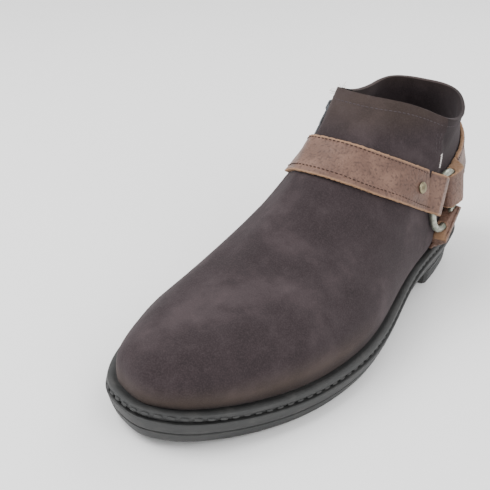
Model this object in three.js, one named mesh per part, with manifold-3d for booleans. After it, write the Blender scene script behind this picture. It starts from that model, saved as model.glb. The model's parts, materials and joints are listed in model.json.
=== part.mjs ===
import * as THREE from "three";
import { mergeVertices } from "three/addons/utils/BufferGeometryUtils.js";
import Module from "manifold-3d";

// Harness chukka boot, left foot. Millimetres, +Z up, toe towards -Y, outer (lateral) side +X.
// The origin is on the floor under the middle of the heel seat.

// Driving sizes of the last and the sole
const SOLE_LENGTH = 308;
const BALL_WIDTH = 110;
const HEEL_SEAT = 39.7;
const HEEL_LIFT = 10.2;
const HEEL_BREAST = 80;
const SOLE_THICKNESS = 12;
const SOLE_DRAW_IN = 3.8;
const WELT_HEIGHT = 4.6;
const WELT_LEDGE = 5.3;
const WELT_REACH = 9;
const TOE_SPRING = 6.2;
const ARCH_START = 86;
const ARCH_END = 166;
const SPRING_START = 216;
const FOOTBED_RISE = 2;

// Driving sizes of the upper
const COLLAR_HEIGHT = 112;
const WALL = 2.2;
const CLEARANCE = 0.3;
const PANEL_STEP = 1.3;
const PANEL_FLARE = 2.6;

// Driving sizes of the harness
const STRAP_WIDTH = 23;
const STRAP_THICKNESS = 2.5;
const STRAP_GAP = 0.3;
const STRAP_LAP = 3;
const RING_DIAMETER = 38;
const RING_WIRE = 4;
const RING_DISTANCE = 79.5;
const RING_HEIGHT = 59.5;
const RING_SINK = 1;
const LOOP_LINING = 1.8;
const LOOP_LENGTH = 7;
const LOOP_NOSE = 5;
const LOOP_DEPTH = 6;
const FOLD_SETBACK = 5;
const INSTEP_RIVET_SETBACK = 32;
const HEEL_RIVET_SETBACK = 29;
const RIVET_HEAD = 7;
const RIVET_SHANK = 2.6;
const RIVET_RISE = 1.8;
const TAB_NOSE = 12;
const TAB_LEAN = { ahead: 0.6, below: 0.8 };
const TAB_FOOT_ABOVE_WELT = 1.4;

// Driving sizes of the zip
const TAPE_DEPTH = -0.8;
const TAPE_THICKNESS = 1.1;
const COIL_WIDTH = 4.4;
const COIL_HEIGHT = 1.3;
const ZIP_END_GAP = 0.01;
const SLIDER_T = 0.9;
const SLIDER_WIDTH = 8.4;
const SLIDER_LENGTH = 11;
const SLIDER_THICKNESS = 2.4;
const SLIDER_RIDE = 0.3;
const ARCH_LENGTH = 7;
const ARCH_WIDTH = 2.2;
const ARCH_HEIGHT = 3.1;
const ARCH_WALL = 1;
const ARCH_ROOT = 0.6;
const PULL_LENGTH = 28;
const PULL_WIDTH = 6.2;
const PULL_THICKNESS = 1.2;
const PULL_RING_LENGTH = 11;
const PULL_TAPER = 2.5;
const PULL_TAIL_WIDTH = 3.8;
const PULL_HOLE = 1.6;
const PULL_PLAY = 0.5;

const wasm = await Module();
wasm.setup();

const HALF_BALL = BALL_WIDTH / 2;

// Places along a chord from heel to toe where the tables below give half widths
const STATIONS = [0.07, 0.17, 0.37, 0.6, 0.76, 0.88, 0.96];

// Sole outline: half widths at the stations, as shares of half the ball width
const SOLE_OUTLINE = {
  lateral: [0.61, 0.738, 0.816, 1.03, 0.945, 0.69, 0.38],
  medial: [0.655, 0.735, 0.568, 0.84, 0.985, 0.825, 0.56],
  toeShift: -0.052,
};

// Rings of the last from the featherline to the collar. back and front are distances from the
// back of the sole as shares of its length, the heights are shares of the collar height, the
// dips are how far the side of a ring hangs under its chord, and frontShift and the half widths
// at the stations are shares of half the ball width.
const RINGS = [
  {
    back: 0.006, backHeight: 0.34, front: 0.989, frontHeight: 0.285, frontShift: -0.05,
    dipLateral: 0.06, dipMedial: 0.06,
    lateral: [0.59, 0.69, 0.76, 0.955, 0.885, 0.655, 0.385],
    medial: [0.63, 0.68, 0.56, 0.775, 0.865, 0.69, 0.49],
  },
  {
    back: 0.003, backHeight: 0.465, front: 0.982, frontHeight: 0.345, frontShift: -0.05,
    dipLateral: 0.05, dipMedial: 0.05,
    lateral: [0.59, 0.7, 0.76, 0.91, 0.83, 0.6, 0.35],
    medial: [0.62, 0.69, 0.63, 0.74, 0.74, 0.6, 0.43],
  },
  {
    back: 0.007, backHeight: 0.59, front: 0.95, frontHeight: 0.41, frontShift: -0.05,
    dipLateral: 0.035, dipMedial: 0.035,
    lateral: [0.57, 0.7, 0.74, 0.8, 0.69, 0.5, 0.31],
    medial: [0.575, 0.67, 0.655, 0.69, 0.6, 0.5, 0.36],
  },
  {
    back: 0.018, backHeight: 0.705, front: 0.88, frontHeight: 0.46, frontShift: -0.05,
    dipLateral: 0.02, dipMedial: 0.02,
    lateral: [0.52, 0.68, 0.71, 0.69, 0.55, 0.39, 0.23],
    medial: [0.52, 0.645, 0.64, 0.6, 0.51, 0.4, 0.26],
  },
  {
    back: 0.031, backHeight: 0.805, front: 0.775, frontHeight: 0.513, frontShift: -0.04,
    dipLateral: 0.01, dipMedial: 0.01,
    lateral: [0.49, 0.655, 0.7, 0.62, 0.47, 0.325, 0.19],
    medial: [0.48, 0.6, 0.61, 0.56, 0.45, 0.32, 0.2],
  },
  {
    back: 0.043, backHeight: 0.875, front: 0.655, frontHeight: 0.616, frontShift: -0.02,
    dipLateral: 0.01, dipMedial: 0.01,
    lateral: [0.46, 0.63, 0.71, 0.6, 0.45, 0.31, 0.18],
    medial: [0.435, 0.55, 0.575, 0.54, 0.43, 0.31, 0.195],
  },
  {
    back: 0.053, backHeight: 0.929, front: 0.535, frontHeight: 0.768, frontShift: 0,
    dipLateral: 0.03, dipMedial: 0.03,
    lateral: [0.44, 0.6, 0.72, 0.62, 0.48, 0.345, 0.22],
    medial: [0.4, 0.5, 0.53, 0.525, 0.425, 0.325, 0.22],
  },
  {
    back: 0.059, backHeight: 0.967, front: 0.437, frontHeight: 0.93, frontShift: 0.02,
    dipLateral: 0.06, dipMedial: 0.045,
    lateral: [0.42, 0.57, 0.72, 0.67, 0.54, 0.4, 0.27],
    medial: [0.37, 0.455, 0.49, 0.49, 0.445, 0.36, 0.27],
  },
  {
    back: 0.064, backHeight: 1, front: 0.368, frontHeight: 1.098, frontShift: 0.03,
    dipLateral: 0.11, dipMedial: 0.055,
    lateral: [0.41, 0.56, 0.72, 0.76, 0.65, 0.5, 0.32],
    medial: [0.35, 0.43, 0.44, 0.42, 0.41, 0.385, 0.3],
  },
];

// The y coordinate at a distance from the back of the sole
const along = (distance) => HEEL_SEAT - distance;

function smoothStep(value, start, end) {
  const share = Math.min(1, Math.max(0, (value - start) / (end - start)));
  return share * share * (3 - 2 * share);
}

// Height of the underside of the sole above the floor, by distance from the back of the sole
function lift(distance) {
  const heel = HEEL_LIFT * (1 - smoothStep(distance, ARCH_START, ARCH_END));
  const spring = Math.max(0, (distance - SPRING_START) / (SOLE_LENGTH - SPRING_START));
  return heel + TOE_SPRING * spring ** 2;
}

const closedSpline = (points) => new THREE.CatmullRomCurve3(points, true, "centripetal");

// Beside each end of a chord the outline is as round as an ellipse
const END_SHARE = 0.013;
const END_WIDTH = 0.53;

// Closed curve through both ends of a chord and the half widths at the stations; u is 0 at the
// heel, 0.5 at the toe, and runs along the lateral side first.
function ringCurve(chordPoint, lateral, medial, frontShift = 0) {
  const side = (widths, sign) => {
    const rear = END_WIDTH * widths[0] * sign;
    const front = THREE.MathUtils.lerp(frontShift, widths[widths.length - 1] * sign, END_WIDTH);
    return [
      chordPoint(END_SHARE, rear * HALF_BALL, sign),
      ...STATIONS.map((share, i) => chordPoint(share, widths[i] * sign * HALF_BALL, sign)),
      chordPoint(1 - END_SHARE, front * HALF_BALL, sign),
    ];
  };
  const heel = chordPoint(0, 0, 1);
  const toe = chordPoint(1, frontShift * HALF_BALL, 1);
  return closedSpline([heel, ...side(lateral, 1), toe, ...side(medial, -1).reverse()]);
}

const soleCurve = ringCurve(
  (share, x) => new THREE.Vector3(x, along(share * SOLE_LENGTH), 0),
  SOLE_OUTLINE.lateral, SOLE_OUTLINE.medial, SOLE_OUTLINE.toeShift,
);

// Point of the sole outline moved inwards by inset, at a height above the sole's underside
function solePoint(u, inset, height) {
  const point = soleCurve.getPoint(u);
  const tangent = soleCurve.getTangent(u);
  const x = point.x + tangent.y * inset;
  const y = point.y - tangent.x * inset;
  const distance = along(0) - y;
  return new THREE.Vector3(x, y, lift(distance) + height);
}

const FEATHER_HEIGHT = SOLE_THICKNESS + WELT_HEIGHT + CLEARANCE;

const lastCurves = RINGS.map((ring) => ringCurve(
  (share, x, side) => {
    const distance = THREE.MathUtils.lerp(ring.back, ring.front, share) * SOLE_LENGTH;
    const height = THREE.MathUtils.lerp(ring.backHeight, ring.frontHeight, share) * COLLAR_HEIGHT;
    const dip = (side > 0 ? ring.dipLateral : ring.dipMedial) * COLLAR_HEIGHT;
    return new THREE.Vector3(x, along(distance), height - dip * Math.sin(Math.PI * share) ** 1.5);
  },
  ring.lateral, ring.medial, ring.frontShift,
));

const meridians = new Map();

// Line up the upper's outer face from featherline to collar at one place around the foot
function meridian(u) {
  const place = ((u % 1) + 1) % 1;
  if (!meridians.has(place)) {
    const rings = lastCurves.map((curve) => curve.getPoint(place));
    const line = new THREE.CatmullRomCurve3(
      [solePoint(place, WELT_LEDGE, FEATHER_HEIGHT), ...rings], false, "centripetal",
    );
    meridians.set(place, line);
  }
  return meridians.get(place);
}

const upperPoint = (t, u) => meridian(u).getPoint(t);

// Outward direction of the upper's face
function upperNormal(t, u) {
  const step = 0.004;
  const low = Math.max(0, t - step);
  const high = Math.min(1, t + step);
  const up = upperPoint(high, u).sub(upperPoint(low, u));
  const round = upperPoint(t, u + step).sub(upperPoint(t, u - step));
  return up.cross(round).normalize();
}

const offsetPoint = (t, u, offset) => upperPoint(t, u).addScaledVector(upperNormal(t, u), offset);

// Geometry from a list of points and a list of outward-facing quads or triangles
function facesGeometry(points, faces) {
  const index = [];
  for (const face of faces) {
    for (let corner = 2; corner < face.length; corner += 1) index.push(face[0], face[corner - 1], face[corner]);
  }
  const geometry = new THREE.BufferGeometry();
  geometry.setAttribute("position", new THREE.Float32BufferAttribute(points.flatMap((p) => p.toArray()), 3));
  geometry.setIndex(index);
  return mergeVertices(geometry, 1e-4);
}

// Closed band: rows[r][c] are points of a section profile r around a closed loop c, and the last
// row joins the first.
function bandGeometry(rows) {
  const columns = rows[0].length;
  const faces = [];
  rows.forEach((row, r) => {
    const next = ((r + 1) % rows.length) * columns;
    for (let c = 0; c < columns; c += 1) {
      const right = (c + 1) % columns;
      faces.push([r * columns + right, r * columns + c, next + c, next + right]);
    }
  });
  return facesGeometry(rows.flat(), faces);
}

// Solid slab: rows of loops from the bottom edge to the top edge, each cap a ladder of rungs
// between the lateral and the medial side.
function slabGeometry(rows) {
  const columns = rows[0].length;
  const half = columns / 2;
  const faces = [];
  for (let r = 0; r < rows.length - 1; r += 1) {
    for (let c = 0; c < columns; c += 1) {
      const right = (c + 1) % columns;
      faces.push([r * columns + right, r * columns + c, (r + 1) * columns + c, (r + 1) * columns + right]);
    }
  }
  const top = (rows.length - 1) * columns;
  for (let c = 0; c < half; c += 1) {
    const here = c;
    const there = (columns - c) % columns;
    faces.push([c + 1, columns - c - 1, there, here]);
    faces.push([top + there, top + columns - c - 1, top + c + 1, top + here]);
  }
  const clean = faces.map((face) => face.filter((v, i) => face.indexOf(v) === i)).filter((face) => face.length > 2);
  return facesGeometry(rows.flat(), clean);
}

// Shell between two grids of points, open where a cell is missing; the rims are closed
function shellGeometry(outer, inner, closed, hasCell = () => true) {
  const rows = outer.length;
  const columns = outer[0].length;
  const cells = closed ? columns : columns - 1;
  const innerStart = rows * columns;
  const at = (r, c) => r * columns + (c % columns);
  const present = (r, c) => {
    if (r < 0 || r >= rows - 1) return false;
    if (!closed && (c < 0 || c >= cells)) return false;
    return hasCell(r, (c + cells) % cells);
  };
  const faces = [];
  const wall = (a, b) => faces.push([a, b, innerStart + b, innerStart + a]);
  for (let r = 0; r < rows - 1; r += 1) {
    for (let c = 0; c < cells; c += 1) {
      if (!present(r, c)) continue;
      const quad = [at(r, c), at(r + 1, c), at(r + 1, c + 1), at(r, c + 1)];
      faces.push(quad);
      faces.push([quad[0], quad[3], quad[2], quad[1]].map((v) => innerStart + v));
      if (!present(r, c - 1)) wall(quad[1], quad[0]);
      if (!present(r + 1, c)) wall(quad[2], quad[1]);
      if (!present(r, c + 1)) wall(quad[3], quad[2]);
      if (!present(r - 1, c)) wall(quad[0], quad[3]);
    }
  }
  return facesGeometry([...outer.flat(), ...inner.flat()], faces);
}

const AROUND = 56;
const around = (make, count = AROUND) => Array.from({ length: count }, (_, c) => make(c / count));

// Finishes
const rubber = new THREE.MeshStandardMaterial({ color: 0x2c2c2e, roughness: 0.72, metalness: 0 });
const nubuck = new THREE.MeshStandardMaterial({ color: 0x4a4045, roughness: 0.92, metalness: 0 });
const lining = new THREE.MeshStandardMaterial({ color: 0x18171a, roughness: 0.95, metalness: 0 });

const strapLeather = new THREE.MeshStandardMaterial({ color: 0x7c4e38, roughness: 0.6, metalness: 0 });
const agedMetal = new THREE.MeshStandardMaterial({ color: 0x6f6a55, roughness: 0.5, metalness: 0.8 });
const zipFabric = new THREE.MeshStandardMaterial({ color: 0x121214, roughness: 0.95, metalness: 0 });
const zipCoil = new THREE.MeshStandardMaterial({ color: 0x1b1b1d, roughness: 0.5, metalness: 0 });
const zipMetal = new THREE.MeshStandardMaterial({ color: 0x55565a, roughness: 0.4, metalness: 0.8 });

const boot = new THREE.Group();

function addPiece(name, geometry, material) {
  const mesh = new THREE.Mesh(geometry, material);
  mesh.name = name;
  boot.add(mesh);
  return mesh;
}

// Outsole: side wall drawn in towards the tread, with two ribs and a lip at the top
const OUTSOLE_SIDE = [
  { height: 0, inset: 1.2 },
  { height: 0.08, inset: 1 },
  { height: 0.42, inset: 0.55 },
  { height: 0.45, inset: 0.68 },
  { height: 0.5, inset: 0.6 },
  { height: 0.53, inset: 0.42 },
  { height: 0.86, inset: 0.08 },
  { height: 0.95, inset: 0 },
  { height: 1, inset: 0.14 },
];
addPiece(
  "outsole",
  slabGeometry(OUTSOLE_SIDE.map((row) => around(
    (u) => solePoint(u, row.inset * SOLE_DRAW_IN, row.height * SOLE_THICKNESS),
  ))),
  rubber,
);

// Welt: a band around the foot with a stitch groove under a rounded bead
const WELT_SECTION = [
  { inset: WELT_REACH, height: 0 },
  { inset: 2, height: 0 },
  { inset: 2, height: 0.28 },
  { inset: 1.1, height: 0.34 },
  { inset: 0.6, height: 0.6 },
  { inset: 1, height: 0.92 },
  { inset: 2.2, height: 1.06 },
  { inset: 3.9, height: 1.06 },
  { inset: 4.8, height: 0.94 },
  { inset: WELT_REACH, height: 0.94 },
];
addPiece(
  "welt",
  bandGeometry(WELT_SECTION.map((row) => around(
    (u) => solePoint(u, row.inset, SOLE_THICKNESS + CLEARANCE + row.height * (WELT_HEIGHT - CLEARANCE)),
  ))),
  rubber,
);

// Heel block: the rear of the sole's outline, cut off square at the breast
const HEEL_SIDE = [
  { height: 0, inset: 1.45 },
  { height: 0.12, inset: 1.3 },
  { height: 0.55, inset: 1.22 },
  { height: 0.62, inset: 1.34 },
  { height: 0.7, inset: 1.2 },
  { height: 1, inset: 1.12 },
];

// Place along the outline, on the lateral side or the medial side, at a distance from the heel
function placeAt(distance, lateral) {
  let low = 0;
  let high = 0.5;
  for (let step = 0; step < 40; step += 1) {
    const middle = (low + high) / 2;
    const reached = along(0) - soleCurve.getPoint(lateral ? middle : 1 - middle).y;
    if (reached < distance) low = middle;
    else high = middle;
  }
  return lateral ? low : 1 - low;
}

const HEEL_AROUND = 40;
const breastLateral = placeAt(HEEL_BREAST, true);
const breastMedial = placeAt(HEEL_BREAST, false) - 1;
const heelRows = HEEL_SIDE.map((row) => Array.from({ length: HEEL_AROUND }, (_, c) => {
  const half = HEEL_AROUND / 2;
  const share = c / (half - 0.5);
  const u = c < half ? breastLateral * share : breastMedial * ((HEEL_AROUND - c) / (half - 0.5));
  const point = solePoint(((u % 1) + 1) % 1, row.inset * SOLE_DRAW_IN, 0);
  point.z = row.height * (HEEL_LIFT - CLEARANCE);
  return point;
}));
addPiece("heel", slabGeometry(heelRows), rubber);

// Insole: fills the welt's opening and rises a little inside the upper
addPiece(
  "insole",
  slabGeometry([
    { inset: WELT_REACH + CLEARANCE, height: CLEARANCE },
    { inset: WELT_REACH + CLEARANCE, height: WELT_HEIGHT + FOOTBED_RISE - 1 },
    { inset: WELT_REACH + CLEARANCE + 1, height: WELT_HEIGHT + FOOTBED_RISE },
  ].map((row) => around((u) => solePoint(u, row.inset, SOLE_THICKNESS + row.height)))),
  lining,
);

// Upper: one wall from featherline to collar. The lateral seam, where the front panel laps over
// the rear panel, is a step between two close meridians, and the medial side has the zip's slot.
const SEAM_STATIONS = [
  { t: 0, distance: 0.27 },
  { t: 0.35, distance: 0.27 },
  { t: 0.8, distance: 0.272 },
  { t: 1, distance: 0.278 },
];
const UPPER_ROWS = 19;

const upperRow = (r) => (r / (UPPER_ROWS - 1));

function tableValue(table, t, column) {
  const next = table.findIndex((row) => row.t >= t);
  if (next <= 0) return table[0][column];
  const before = table[next - 1];
  const after = table[next];
  return THREE.MathUtils.lerp(before[column], after[column], (t - before.t) / (after.t - before.t));
}

// Place around ring t where it passes a distance from the back of the sole
function ringPlace(t, distance, lateral) {
  let low = 0;
  let high = 0.5;
  for (let step = 0; step < 22; step += 1) {
    const middle = (low + high) / 2;
    const reached = along(0) - upperPoint(t, lateral ? middle : 1 - middle).y;
    if (reached < distance) low = middle;
    else high = middle;
  }
  return lateral ? low : 1 - low;
}

const ZIP_STATIONS = [
  { t: 0, distance: 0.35 },
  { t: 0.4, distance: 0.335 },
  { t: 1, distance: 0.28 },
];
const ZIP_BOTTOM = 0.2;
const ZIP_SLOT = 8;
const SEAM_WIDTH = 0.8;

// Places around the foot at ring t: evenly spread between the heel, both sides of the seam, the
// toe and both sides of the zip's slot. At the featherline they match the welt's own columns.
const COLUMN_COUNTS = { rear: 10, front: 17, medialFront: 17, medialRear: 10 };
const COLUMNS_ALIGNED = 0.08;
function columnPlaces(t) {
  const seam = tableValue(SEAM_STATIONS, t, "distance") * SOLE_LENGTH;
  const zip = tableValue(ZIP_STATIONS, t, "distance") * SOLE_LENGTH;
  const marks = [
    { place: 0, count: COLUMN_COUNTS.rear },
    { place: ringPlace(t, seam - SEAM_WIDTH / 2, true), count: 1 },
    { place: ringPlace(t, seam + SEAM_WIDTH / 2, true), count: COLUMN_COUNTS.front },
    { place: 0.5, count: COLUMN_COUNTS.medialFront },
    { place: ringPlace(t, zip + ZIP_SLOT / 2, false), count: 1 },
    { place: ringPlace(t, zip - ZIP_SLOT / 2, false), count: COLUMN_COUNTS.medialRear },
    { place: 1, count: 0 },
  ];
  const places = [];
  for (let m = 0; m < marks.length - 1; m += 1) {
    for (let c = 0; c < marks[m].count; c += 1) {
      places.push(THREE.MathUtils.lerp(marks[m].place, marks[m + 1].place, c / marks[m].count));
    }
  }
  const aligned = Math.min(1, t / COLUMNS_ALIGNED);
  return places.map((place, c) => THREE.MathUtils.lerp(c / places.length, place, aligned));
}
const SEAM_COLUMN = COLUMN_COUNTS.rear;
const ZIP_COLUMN = SEAM_COLUMN + 1 + COLUMN_COUNTS.front + COLUMN_COUNTS.medialFront;

const upperOuter = [];
const upperInner = [];
for (let r = 0; r < UPPER_ROWS; r += 1) {
  const t = upperRow(r);
  const places = columnPlaces(t);
  upperOuter.push(places.map((u, c) => {
    const step = r > 0 && c > SEAM_COLUMN && c < ZIP_COLUMN ? PANEL_STEP : 0;
    const flare = c > SEAM_COLUMN ? PANEL_FLARE * smoothStep(t, 0.82, 1) * Math.exp(-0.7 * (c - SEAM_COLUMN - 1)) : 0;
    if (r === 0) return solePoint(u, WELT_LEDGE, FEATHER_HEIGHT);
    return offsetPoint(t, u, step * Math.exp(-0.25 * Math.max(0, c - SEAM_COLUMN - 1)) + flare);
  }));
  upperInner.push(places.map((u) => offsetPoint(t, u, -WALL)));
}
const featherRow = around((u) => solePoint(u, WELT_LEDGE + WALL, FEATHER_HEIGHT));
upperInner[0] = featherRow;
const zipCell = (r, c) => c === ZIP_COLUMN && upperRow(r) >= ZIP_BOTTOM;
addPiece("upper", shellGeometry(upperOuter, upperInner, true, (r, c) => !zipCell(r, c)), nubuck);

// Fittings on the upper: the harness, its ring and rivets, and the zip

// Where meridian u crosses a plane; the plane's normal points the way the meridian runs
function planeCrossing(u, plane) {
  let low = 0;
  let high = 1;
  for (let step = 0; step < 22; step += 1) {
    const middle = (low + high) / 2;
    if (plane.distanceToPoint(upperPoint(middle, u)) < 0) low = middle;
    else high = middle;
  }
  return low;
}

// Place on the lateral side where a plane's crossing passes a distance from the back of the sole
function planePlace(plane, distance) {
  let low = 0;
  let high = 0.5;
  for (let step = 0; step < 18; step += 1) {
    const middle = (low + high) / 2;
    const reached = along(0) - upperPoint(planeCrossing(middle, plane), middle).y;
    if (reached < distance) low = middle;
    else high = middle;
  }
  return low;
}

const planeThrough = (point, normal) => new THREE.Plane().setFromNormalAndCoplanarPoint(
  normal.clone().normalize(), point,
);

function solidFrom(geometry) {
  const bare = geometry.clone();
  bare.deleteAttribute("normal");
  bare.deleteAttribute("uv");
  const merged = mergeVertices(bare, 1e-4);
  return new wasm.Manifold(new wasm.Mesh({
    numProp: 3,
    vertProperties: new Float32Array(merged.attributes.position.array),
    triVerts: new Uint32Array(merged.index.array),
  }));
}

function geometryFrom(solid) {
  const mesh = solid.getMesh();
  const geometry = new THREE.BufferGeometry();
  geometry.setAttribute("position", new THREE.BufferAttribute(new Float32Array(mesh.vertProperties), 3));
  geometry.setIndex(new THREE.BufferAttribute(new Uint32Array(mesh.triVerts), 1));
  return geometry;
}

// Frame on the upper's outer side at a height and a distance from the back of the sole: across
// points to the heel, up points up the face
function faceFrame(plane, distance) {
  const u = planePlace(plane, distance);
  const t = planeCrossing(u, plane);
  const outward = upperNormal(t, u);
  const up = new THREE.Vector3(0, 0, 1).addScaledVector(outward, -outward.z).normalize();
  return { point: upperPoint(t, u), outward, up, across: up.clone().cross(outward).normalize() };
}

// Matrix that turns a shape's own axes to across, up and outward, at a height over the face
function onFace(frame, height) {
  const place = frame.point.clone().addScaledVector(frame.outward, height);
  return new THREE.Matrix4().makeBasis(frame.across, frame.up, frame.outward).setPosition(place);
}

// Layer over part of the upper's face, made of the upper's own facets so that it lies close
function faceSheet(firstColumn, lastColumn, under, over) {
  const face = (offset) => upperOuter.map((row, r) => {
    const t = upperRow(r);
    const places = columnPlaces(t);
    const line = [];
    for (let c = firstColumn; c <= lastColumn; c += 1) {
      const column = (c + AROUND) % AROUND;
      line.push(row[column].clone().addScaledVector(upperNormal(t, places[column]), offset));
    }
    return line;
  });
  return solidFrom(shellGeometry(face(over), face(under), false));
}

// Prism across the foot whose outline is drawn from the side: rows give distances from the back
// of the sole and heights above the floor
function sidePrism(rows) {
  const shape = new THREE.Shape(rows.map((row) => new THREE.Vector2(along(row.distance), row.height)));
  const prism = new THREE.ExtrudeGeometry(shape, { depth: 2 * BALL_WIDTH, bevelEnabled: false });
  prism.translate(0, 0, -BALL_WIDTH);
  prism.applyMatrix4(new THREE.Matrix4().makeBasis(
    new THREE.Vector3(0, 1, 0), new THREE.Vector3(0, 0, 1), new THREE.Vector3(1, 0, 0),
  ));
  return solidFrom(prism);
}

// Middle line of each strap seen from the side, from the ring's centre: how far ahead of it as
// shares of the sole's length, and how far above it as shares of the collar height
const INSTEP_LINE = [
  { ahead: -0.1, above: -0.022 },
  { ahead: 0, above: 0.018 },
  { ahead: 0.114, above: 0.165 },
  { ahead: 0.195, above: 0.274 },
  { ahead: 0.31, above: 0.448 },
];
const HEEL_LINE = [
  { ahead: -0.34, above: 0.28 },
  { ahead: -0.258, above: 0.219 },
  { ahead: -0.161, above: 0.147 },
  { ahead: -0.063, above: 0.067 },
  { ahead: 0, above: 0.027 },
  { ahead: 0.117, above: -0.049 },
];

const middleLine = (rows) => rows.map((row) => new THREE.Vector2(
  RING_DISTANCE + row.ahead * SOLE_LENGTH, RING_HEIGHT + row.above * COLLAR_HEIGHT,
));

// Outline of a strap seen from the side: its middle line widened to both edges
function strapOutline(line) {
  const edge = (side) => line.map((point, i) => {
    const before = line[Math.max(0, i - 1)];
    const after = line[Math.min(line.length - 1, i + 1)];
    const run = after.clone().sub(before).normalize();
    const shift = side * STRAP_WIDTH / 2;
    return { distance: point.x - run.y * shift, height: point.y + run.x * shift };
  });
  return [...edge(1), ...edge(-1).reverse()];
}

// Harness ring: it lies flat on the outer side, over the inner layer of the straps
const ringPlane = planeThrough(new THREE.Vector3(0, 0, RING_HEIGHT), new THREE.Vector3(0, 0, 1));
const ringFrame = faceFrame(ringPlane, RING_DISTANCE);
const RING_STAND = STRAP_GAP + LOOP_LINING + CLEARANCE + RING_WIRE / 2 - RING_SINK;
const ringMatrix = onFace(ringFrame, RING_STAND);
const ringTorus = (wire) => new THREE.TorusGeometry((RING_DIAMETER - RING_WIRE) / 2, wire / 2, 8, 36);
addPiece("harness_ring", ringTorus(RING_WIRE), agedMetal).applyMatrix4(ringMatrix);
const ringChannel = solidFrom(ringTorus(RING_WIRE + 2 * CLEARANCE).applyMatrix4(ringMatrix));

// Section of the leather where a strap folds round the ring: reach is how far it lies from the
// ring's centre, and height is over the face under that centre
const LOOP_TOP = RING_STAND + RING_WIRE / 2 + CLEARANCE + STRAP_THICKNESS;
const LOOP_END = RING_DIAMETER / 2 + LOOP_LENGTH;
const loopSection = (nose) => [
  { reach: nose, height: -LOOP_DEPTH },
  { reach: nose, height: LOOP_TOP * 0.42 },
  { reach: nose + LOOP_NOSE * 0.3, height: LOOP_TOP * 0.7 },
  { reach: nose + LOOP_NOSE, height: LOOP_TOP * 0.86 },
  { reach: RING_DIAMETER / 2 - RING_WIRE, height: LOOP_TOP },
  { reach: RING_DIAMETER / 2, height: LOOP_TOP },
  { reach: RING_DIAMETER / 2 + LOOP_LENGTH * 0.35, height: LOOP_TOP * 0.66 },
  { reach: LOOP_END, height: 0 },
  { reach: LOOP_END, height: -LOOP_DEPTH },
];

// Loop of leather over the ring's wire, lying in one direction from the ring's centre
function loopSolid(nose, direction) {
  const shape = new THREE.Shape(loopSection(nose).map((row) => new THREE.Vector2(row.reach, row.height)));
  const width = 1.5 * STRAP_WIDTH;
  const loop = new THREE.ExtrudeGeometry(shape, { depth: width, bevelEnabled: false });
  loop.translate(0, 0, -width / 2);
  const sideways = ringFrame.outward.clone().cross(direction).negate();
  loop.applyMatrix4(new THREE.Matrix4().makeBasis(direction, ringFrame.outward, sideways));
  loop.translate(...ringFrame.point.toArray());
  return solidFrom(loop);
}
const jacket = faceSheet(0, SEAM_COLUMN + 8, -3 * LOOP_DEPTH, STRAP_GAP);

// Box that keeps the straps from reaching past their folds
function beyondFold(distance, forward) {
  const size = 4 * RING_DIAMETER;
  const box = new THREE.BoxGeometry(size, size, size);
  box.translate(size / 2, along(distance) + (forward ? -size / 2 : size / 2), ringFrame.point.z);
  return solidFrom(box);
}

// Direction on the face under the ring, from how far it runs ahead and above
const faceDirection = (ahead, above) => ringFrame.across.clone().multiplyScalar(-ahead)
  .addScaledVector(ringFrame.up, above).normalize();

// Strap from its fold round the ring to the zip; side is 1 towards the toe and -1 to the heel
function strapSolid(line, side, firstColumn, lastColumn) {
  const fold = beyondFold(RING_DISTANCE + side * (LOOP_END - STRAP_LAP), side < 0);
  const sheet = faceSheet(firstColumn, lastColumn, STRAP_GAP, STRAP_GAP + STRAP_THICKNESS).subtract(fold);
  const start = line.findIndex((point) => point.x >= RING_DISTANCE);
  const run = line[start + side].clone().sub(line[start]);
  const loop = loopSolid(FOLD_SETBACK, faceDirection(run.x, run.y)).subtract(jacket);
  return sheet.add(loop).intersect(sidePrism(strapOutline(line))).subtract(ringChannel);
}

// Dome-headed rivet through a strap, and the strap with the hole that it sits in
function rivetAt(name, strap, line, distance, height) {
  const after = line.findIndex((point) => point.x >= distance);
  const share = (distance - line[after - 1].x) / (line[after].x - line[after - 1].x);
  const middle = THREE.MathUtils.lerp(line[after - 1].y, line[after].y, share);
  const frame = faceFrame(planeThrough(new THREE.Vector3(0, 0, middle), new THREE.Vector3(0, 0, 1)), distance);
  const matrix = onFace(frame, STRAP_GAP + STRAP_THICKNESS + height);
  const radius = RIVET_HEAD / 2;
  const foot = CLEARANCE - STRAP_THICKNESS;
  const profile = [
    [0, foot], [RIVET_SHANK / 2, foot], [RIVET_SHANK / 2, CLEARANCE], [radius, CLEARANCE],
    [radius, CLEARANCE + RIVET_RISE * 0.3], [radius * 0.75, CLEARANCE + RIVET_RISE * 0.8],
    [radius * 0.35, CLEARANCE + RIVET_RISE * 0.98], [0, CLEARANCE + RIVET_RISE],
  ].map(([x, y]) => new THREE.Vector2(x, y));
  const upright = (geometry) => geometry.rotateX(Math.PI / 2);
  addPiece(name, upright(new THREE.LatheGeometry(profile, 12)), agedMetal).applyMatrix4(matrix);
  const holeRadius = RIVET_SHANK / 2 + CLEARANCE;
  const hole = upright(new THREE.CylinderGeometry(holeRadius, holeRadius, 4 * STRAP_THICKNESS, 12));
  return strap.subtract(solidFrom(hole.applyMatrix4(matrix)));
}

const instepLine = middleLine(INSTEP_LINE);
const instepSolid = rivetAt(
  "rivet_instep", strapSolid(instepLine, 1, 0, ZIP_COLUMN), instepLine,
  RING_DISTANCE + INSTEP_RIVET_SETBACK, PANEL_STEP * 0.65,
);
addPiece("instep_strap", geometryFrom(instepSolid), strapLeather);

const heelLine = middleLine(HEEL_LINE);
const heelSolid = rivetAt(
  "rivet_heel", strapSolid(heelLine, -1, ZIP_COLUMN + 1 - AROUND, SEAM_COLUMN), heelLine,
  RING_DISTANCE - HEEL_RIVET_SETBACK, 0,
);
addPiece("heel_strap", geometryFrom(heelSolid), strapLeather);

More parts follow.
